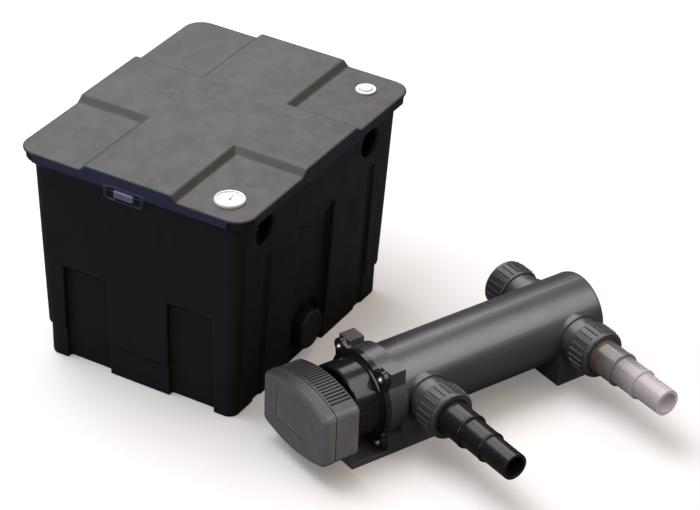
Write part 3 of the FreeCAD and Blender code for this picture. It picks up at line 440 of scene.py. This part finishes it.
def metals():
    m = new_look("stainless")
    m.set_surface({
        "Base Color": m.mix(m.noise(scale=900, detail=3, rough=0.6, stretch=(1, 1, 6)),
                            (0.50, 0.49, 0.47), (0.68, 0.66, 0.63)),
        "Metallic": 1.0,
        "Roughness": m.noise(scale=1200, detail=3, rough=0.7, low=0.16, high=0.34),
        "Normal": m.bump(m.noise(scale=2600, detail=2, rough=0.6), strength=0.06,
                         depth=0.0001)})
    # dark grey case: painted shade, standing in for the shade inside the head seen through its
    # vents
    m = new_look("ballast_case")
    m.set_surface({
        "Base Color": m.mix(m.noise(scale=60), (0.05, 0.05, 0.05), (0.08, 0.08, 0.08)),
        "Metallic": 0.6,
        "Roughness": m.noise(scale=200, low=0.3, high=0.45),
        "Normal": m.bump(m.noise(scale=900, detail=2), strength=0.05, depth=0.0001)})


def glasses():
    m = new_look("clear_lens")
    m.set_surface({
        "Base Color": (0.98, 0.99, 0.99), "Transmission Weight": 1.0, "Roughness": 0.05,
        "IOR": 1.12, "Specular IOR Level": 0.2, "Alpha": 0.2,
        "Normal": m.bump(m.noise(scale=60, detail=2), strength=0.01, depth=0.0002)})
    m = new_look("quartz")
    m.set_surface({
        "Base Color": (0.93, 0.96, 0.98), "Transmission Weight": 1.0, "IOR": 1.46,
        "Roughness": m.noise(scale=40, detail=2, low=0.02, high=0.06),
        "Normal": m.bump(m.noise(scale=30, detail=2), strength=0.01, depth=0.0003)})
    m = new_look("lamp_glass")
    m.set_surface({
        "Base Color": m.mix(m.noise(scale=60, detail=2),
                            (0.86, 0.9, 0.95), (0.92, 0.94, 0.97)),
        "Transmission Weight": 0.6, "IOR": 1.46, "Roughness": 0.1})


def tail_clear():
    """Cloudy see-through hose tail, pinkish at its far end and amber beside the nut."""
    nut_end, near_end, far_end = 0.095, 0.165, 0.240  # distances out from the tube axis
    m = new_look("tail_clear")
    reach = m.add("VectorMath", {0: m.coordinates(), 1: tuple(TUBE_ACROSS)},
                  operation="DOT_PRODUCT").outputs["Value"]
    reach = m.math("SUBTRACT", reach, TUBE_START.dot(TUBE_ACROSS))
    color = m.ramp(m.map_range(reach, nut_end, far_end), [
        (0.0, (0.085, 0.036, 0.014)),
        (0.17, (0.050, 0.039, 0.031)),
        (0.36, (0.105, 0.094, 0.090)),
        (0.62, (0.29, 0.258, 0.268)),
        (1.0, (0.40, 0.345, 0.375)),
    ])
    color = m.mix(m.noise(scale=34, detail=3, rough=0.6, high=0.12), color,
                  (0.40, 0.37, 0.375))
    facing = m.add("LayerWeight", {"Blend": 0.42}).outputs["Facing"]
    dense = m.map_range(facing, 0.0, 1.0, low=0.64, high=0.95)
    near = m.map_range(reach, nut_end, near_end, low=0.42, high=0.0)
    # faint turned rings, strongest beside the nut; 1480 rad/m sets their pitch
    wave = m.math("ADD", m.math("SINE", m.math("MULTIPLY", reach, 1480.0)), 1.0)
    rings = m.math("MULTIPLY", wave, m.math("ADD", near, 0.06), clamp=True)
    m.set_surface({
        "Base Color": m.mix(rings, color, (0.02, 0.016, 0.014)),
        "Roughness": m.noise(scale=60, detail=2, rough=0.5, low=0.12, high=0.20),
        "IOR": 1.46, "Specular IOR Level": 0.55,
        "Alpha": m.math("ADD", dense, near, clamp=True),
        "Normal": m.bump(m.noise(scale=60, detail=2), strength=0.05, depth=0.0004)})


def foam(name, dull, bright, scale):
    """Open-cell foam; scale is the number of cells per metre."""
    m = new_look(name)
    pores = m.cells(scale)
    fine_pores = m.cells(scale * 2.7)
    # dark pore centres: painted shade inside the pores
    color = m.mix(m.math("MULTIPLY", pores, 1.6, clamp=True), scaled(dull, 0.25), bright)
    color = m.mix(m.noise(scale=14, detail=4, high=0.4), color, dull)
    fine = m.bump(fine_pores, strength=0.6, depth=0.001)
    m.set_surface({
        "Base Color": color, "Roughness": 0.9, "Specular IOR Level": 0.15,
        "Sheen Weight": 0.3,
        "Normal": m.bump(pores, strength=0.9, depth=0.0025, under=fine)})


lid_plastic()
tub_plastic()
moulded_plastics()
gloss_black()
metals()
glasses()
tail_clear()
foam("foam_blue", (0.03, 0.10, 0.26), (0.06, 0.20, 0.45), scale=260)
foam("foam_green", (0.05, 0.18, 0.11), (0.09, 0.32, 0.20), scale=360)
foam("foam_yellow", (0.50, 0.38, 0.10), (0.72, 0.60, 0.22), scale=480)


def dress(obj, look):
    obj.data.materials.clear()
    obj.data.materials.append(LOOKS[look].owner)


for node, obj in NODES.items():
    dress(obj, SLOT_OF[node])
for node, look in {
    "uv_flange_cap": "neck",
    "latch_pin_front": "pin_dark", "latch_pin_rear": "pin_dark",
    "uv_foot_front": "foot", "uv_foot_rear": "foot",
}.items():
    dress(NODES[node], look)


# ------------------------------------------------------------------ box filter
def stand_in(obj, node, look, body):
    """Dresses a rebuilt piece and puts it in place of its CAD node."""
    dress(obj, look)
    ride(obj, body)
    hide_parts(node)


def crown(obj, rise):
    """Slight moulded crown on the lid's top faces, fading in over a height band."""
    band_start, band_height = 0.322, 0.008
    half_x, half_y = 0.18, 0.22
    for v in obj.data.vertices:
        fade = max(0.0, min(1.0, (v.co.z - band_start) / band_height))
        if fade > 0:
            x, y = min(1, abs(v.co.x) / half_x), min(1, abs(v.co.y) / half_y)
            v.co.z += fade * rise * (1 - x ** 2) * (1 - y ** 2)
    obj.data.update()


lid = remoulded("lid", "lid_shell", voxel=0.0014, smooth=9, ratio=0.30)
crown(lid, rise=0.0010)
stand_in(lid, "lid", "lid_plastic", "lid")
tub = remoulded("filter_tub", "tub_shell", voxel=0.0017, smooth=3, ratio=0.24)
stand_in(tub, "filter_tub", "tub_plastic", "root")

# ------------------------------------------------------------------ carried-over CAD pieces
SOFTENED = {  # bevel width: nodes
    0.0004: "thermometer_case level_gauge_body level_gauge_float",
    0.0005: """drain_cap union_nut_inlet union_nut_outlet union_nut_blank hose_tail_inlet
        blanking_disc cable_gland""",
    0.0006: "lid_latch_front lid_latch_rear",
    0.0012: "uv_foot_front uv_foot_rear",
}
CRISP = {  # smoothing angle in degrees: nodes
    32: """latch_pin_front latch_pin_rear
        thermometer_dial thermometer_needle thermometer_lens thermometer_nut level_gauge_nut
        drain_spout drain_gasket drain_locknut drain_cap_seal
        partition_wall media_grid bio_balls
        uv_flange_oring quartz_oring uv_flange_nuts quartz_sleeve quartz_gland_nut uv_lamp
        lamp_socket electronic_ballast power_cable
        union_gasket_inlet union_gasket_outlet union_gasket_blank hose_tail_outlet
        uv_housing uv_flange_cap uv_flange_screws""",
    40: "ballast_cover ballast_housing",
}
for width, nodes in SOFTENED.items():
    for node in nodes.split():
        soften(node, width)
for angle, nodes in CRISP.items():
    for node in nodes.split():
        crisp(node, angle)


# ------------------------------------------------------------------ foam mats
def foam_mat(node, voxel, pore, depth):
    """A mat with an open, uneven skin: pits of size pore sunk by about depth."""
    obj = remoulded(node, node + "_porous", voxel, smooth=4)
    for v in obj.data.vertices:
        place = v.co * (1 / pore)
        pit = noise.noise(place) * 0.6 + noise.noise(place * 2.1 + Vector((5, 3, 9))) * 0.4
        v.co -= v.normal * depth * max(0.0, 0.5 + 0.9 * pit)
    obj.data.update()
    shade(obj.data, smooth=False)
    stand_in(obj, node, SLOT_OF[node], BODY_OF[node])


foam_mat("fine_foam", voxel=0.0036, pore=0.0060, depth=0.0018)
foam_mat("medium_foam", voxel=0.0056, pore=0.0090, depth=0.0024)
foam_mat("coarse_foam", voxel=0.0060, pore=0.0120, depth=0.0034)


# ------------------------------------------------------------------ added details
def add_detail(obj, look, body):
    obj.data.materials.append(LOOKS[look].owner)
    ride(obj, body)


def tube_point(degrees, along, radius):
    """Point around the tube axis; 0 degrees points across, 90 straight up."""
    angle = math.radians(degrees)
    height = TUBE_AXIS_Z + radius * math.sin(angle)
    return (TUBE_START + TUBE_ACROSS * (radius * math.cos(angle)) + TUBE_ALONG * along
            + Vector((0, 0, height)))


def tube_weld_line():
    """Low ridge along the top of the clarifier tube."""
    start, end, steps = 0.0335, 0.3655, 32
    top = 86  # degrees
    # (offset round the tube, radius)
    section = [(-0.00075, 0.0549), (-0.0004, 0.05522), (0.0004, 0.05522), (0.00075, 0.0549)]
    verts = [tube_point(top + math.degrees(offset / TUBE_RADIUS),
                        start + (end - start) * k / steps, radius)
             for k in range(steps + 1) for offset, radius in section]
    faces = []
    for first in range(0, 4 * steps, 4):
        for j in range(4):
            after = (j + 1) % 4
            faces.append((first + j, first + after, first + 4 + after, first + 4 + j))
    last = 4 * steps
    faces += [(0, 3, 2, 1), (last, last + 1, last + 2, last + 3)]
    ridge = mesh_object("tube_weld_line", verts, faces, angle=40)
    add_detail(ridge, "weld", "clarifier")


def dial_scale():
    """Tick marks on the thermometer dial, every fifth one longer and wider."""
    center_x, center_y, base_z = 0.130, -0.176, 0.33185
    thickness = 0.00008
    outer = 0.0168
    ticks, sweep = 50, 260  # intervals, degrees
    box = [(0, 1, 2, 3), (7, 6, 5, 4), (0, 4, 5, 1), (1, 5, 6, 2), (2, 6, 7, 3), (3, 7, 4, 0)]
    verts, faces = [], []
    for i in range(ticks + 1):
        angle = math.radians(-sweep / 2 + sweep * i / ticks)
        inner, width = (0.0138, 0.00042) if i % 5 == 0 else (0.0150, 0.00022)
        outward = Vector((math.sin(angle), math.cos(angle), 0))
        sideways = Vector((math.cos(angle), -math.sin(angle), 0))
        faces += [tuple(len(verts) + corner for corner in face) for face in box]
        for z in (base_z, base_z + thickness):
            for radius, side in ((inner, -1), (inner, 1), (outer, 1), (outer, -1)):
                verts.append(Vector((center_x, center_y, z)) + outward * radius
                             + sideways * (side * width / 2))
    add_detail(mesh_object("dial_scale", verts, faces, smooth=False),
               "ink", "lid")


tube_weld_line()
dial_scale()


# ------------------------------------------------------------------ stage and world
def build_floor():
    """Pale to the camera but dark to bounced light, fading to plain white far out."""
    m = new_look("floor")
    pale = m.mix(m.noise(scale=3, detail=2), (0.93, 0.93, 0.93), (0.95, 0.95, 0.95))
    seen = m.seen_directly()
    distance = m.add("VectorMath", {0: m.add("NewGeometry").outputs["Position"],
                                    1: (0.22, 0, 0)}, operation="DISTANCE").outputs["Value"]
    glow = m.map_range(distance, 0.75, 1.9, low=0.16, high=1.0)
    m.set_surface({
        "Base Color": m.mix(seen, (0.16, 0.16, 0.165), pale),
        "Roughness": 0.8, "Specular IOR Level": 0.0,
        "Emission Color": (1, 1, 1), "Emission Strength": m.math("MULTIPLY", seen, glow)})
    half, z = 9, -0.0002
    corners = [(-half, -half, z), (half, -half, z), (half, half, z), (-half, half, z)]
    floor = mesh_object("floor", corners, [(0, 1, 2, 3)], smooth=False)
    floor.data.materials.append(m.owner)
    return floor


def build_world():
    """White to the camera; lights brighter from above, bluer from -X and warmer from +X."""
    SCENE.world = bpy.data.worlds.new("studio")
    w = Shader(SCENE.world, "Background")
    direction = w.split(w.add("TexCoord").outputs["Generated"])
    brightness = w.ramp(direction["Z"], [
        (0.0, (0.10, 0.10, 0.115)), (0.35, (0.16, 0.16, 0.18)), (1.0, (1.0, 1.0, 1.0))])
    tint = w.mix(w.map_range(direction["X"], -1.0, 1.0),
                 (0.76, 0.87, 1.26), (1.00, 0.73, 0.32))
    light = w.mix(1.0, brightness, tint, blend="MULTIPLY")
    w.set_surface({"Color": w.mix(w.seen_directly(), light, (1, 1, 1)), "Strength": 1.0})


floor = build_floor()
build_world()

# ------------------------------------------------------------------ lights
# the two devices are lit separately, as in two studio shots set side by side
LIT = {"box": bpy.data.collections.new("lit_box"),
       "uv": bpy.data.collections.new("lit_clarifier")}
for obj in list(SCENE.objects):
    if obj.type == "MESH" and obj is not floor and obj.name != floor.name:
        body = BODY_OF.get(obj.name) or obj.get("rides") or "root"
        LIT["uv" if body in CLARIFIER_BODIES else "box"].objects.link(obj)

WHITE = (1, 1, 1)
TUBE_MIDDLE = (0.388, 0.039, 0.07)
LIGHTS = [  # name, what it lights (None: all), place, target, size, power in watts, colour
    ("soft_overhead", None, (-0.75, -0.05, 2.5), (0.1, 0, 0.15), 1.9, 50, WHITE),
    ("key_back_left", "box", (-0.95, 1.5, 1.95), (0.15, 0, 0.15), 1.3, 30, WHITE),
    ("fill_front_left", "box", (-1.0, -2.6, 0.8), (-0.1, 0, 0.2), 1.2, 15, (0.50, 0.64, 1.0)),
    ("fill_right", "box", (1.5, -1.3, 0.5), (0.2, -0.1, 0.15), 0.8, 2.1, (1.0, 0.60, 0.15)),
    ("clarifier_softbox", "uv", (1.30, 0.30, 1.25), TUBE_MIDDLE, 1.30, 25, WHITE),
    ("clarifier_back", "uv", (-0.55, 1.35, 1.75), TUBE_MIDDLE, 1.1, 15, WHITE),
    ("clarifier_front", "uv", (-0.3, -2.2, 0.8), (0.3, -0.1, 0.07), 1.3, 34, (1.0, 0.97, 1.0)),
    ("clarifier_right", "uv", (2.1, -1.1, 0.8), (0.45, 0, 0.07), 1.0, 13, (1.0, 0.98, 0.98)),
]
for name, group, place, target, size, power, color in LIGHTS:
    lamp = bpy.data.lights.new(name, "AREA")
    lamp.energy = power
    lamp.size = size
    lamp.color = color
    light = link(bpy.data.objects.new(name, lamp))
    light.location = place
    aim = Vector(target) - Vector(place)
    light.rotation_euler = aim.to_track_quat("-Z", "Y").to_euler()
    if group:
        light.light_linking.receiver_collection = LIT[group]

# ------------------------------------------------------------------ camera
AZIMUTH = math.radians(29.1346)  # from -Y towards +X
ELEVATION = math.radians(32.5476)
ROLL = math.radians(2.3927)
DISTANCE = 4.0646
SHIFT_RIGHT, SHIFT_UP = 0.18544, 0.09761


def build_camera():
    lens = bpy.data.cameras.new("camera")
    camera = link(bpy.data.objects.new("camera", lens))
    back = Vector((math.sin(AZIMUTH) * math.cos(ELEVATION),
                   -math.cos(AZIMUTH) * math.cos(ELEVATION), math.sin(ELEVATION)))
    right = (-back).cross(Vector((0, 0, 1))).normalized()
    up = right.cross(-back)
    rolled_right = right * math.cos(ROLL) + up * math.sin(ROLL)
    rolled_up = -right * math.sin(ROLL) + up * math.cos(ROLL)
    place = back * DISTANCE + right * SHIFT_RIGHT + up * SHIFT_UP
    turn = Matrix((rolled_right, rolled_up, back)).transposed().to_4x4()
    camera.matrix_world = Matrix.Translation(place) @ turn
    lens.sensor_width = 36
    lens.lens = 147.749143
    lens.clip_start = 0.05
    lens.clip_end = 60
    SCENE.camera = camera


build_camera()
SCENE.view_settings.view_transform = "Standard"
SCENE.view_settings.look = "None"
